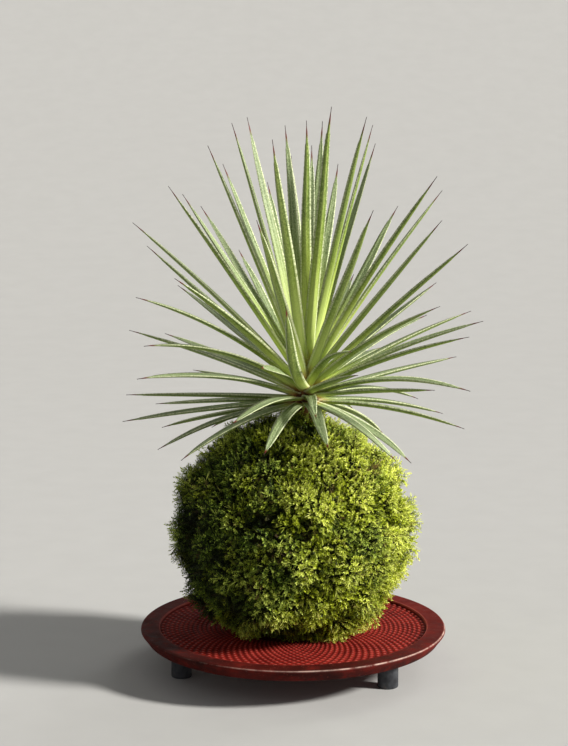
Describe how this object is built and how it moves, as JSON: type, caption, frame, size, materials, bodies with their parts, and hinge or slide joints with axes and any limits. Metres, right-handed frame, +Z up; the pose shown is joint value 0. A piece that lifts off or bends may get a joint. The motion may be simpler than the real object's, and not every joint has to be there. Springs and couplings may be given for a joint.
{
  "type": "kokedama moss ball plant",
  "caption": "Narrow-leaved agave rosette rooted in a moss-covered soil ball, standing on a round beaded plate with short round feet.",
  "frame": {"origin": "on the floor under the feet, at the centre of the whole object's outline seen from above", "axes": "+Z up along the plant's stem, -Y towards the front of the plant, +X to its right"},
  "size_m": [0.1804, 0.1778, 0.2909],
  "materials": {
    "plate": "satin",
    "feet": "matte",
    "soil": "matte",
    "moss": "matte",
    "twine": "matte",
    "leaf": "satin"
  },
  "bodies": {
    "root": {"plate": "plate", "foot_1": "feet", "foot_2": "feet", "foot_3": "feet", "soil_ball": "soil", "moss_cover": "moss", "binding_twine": "twine", "agave": "leaf"}
  },
  "joints": []
}
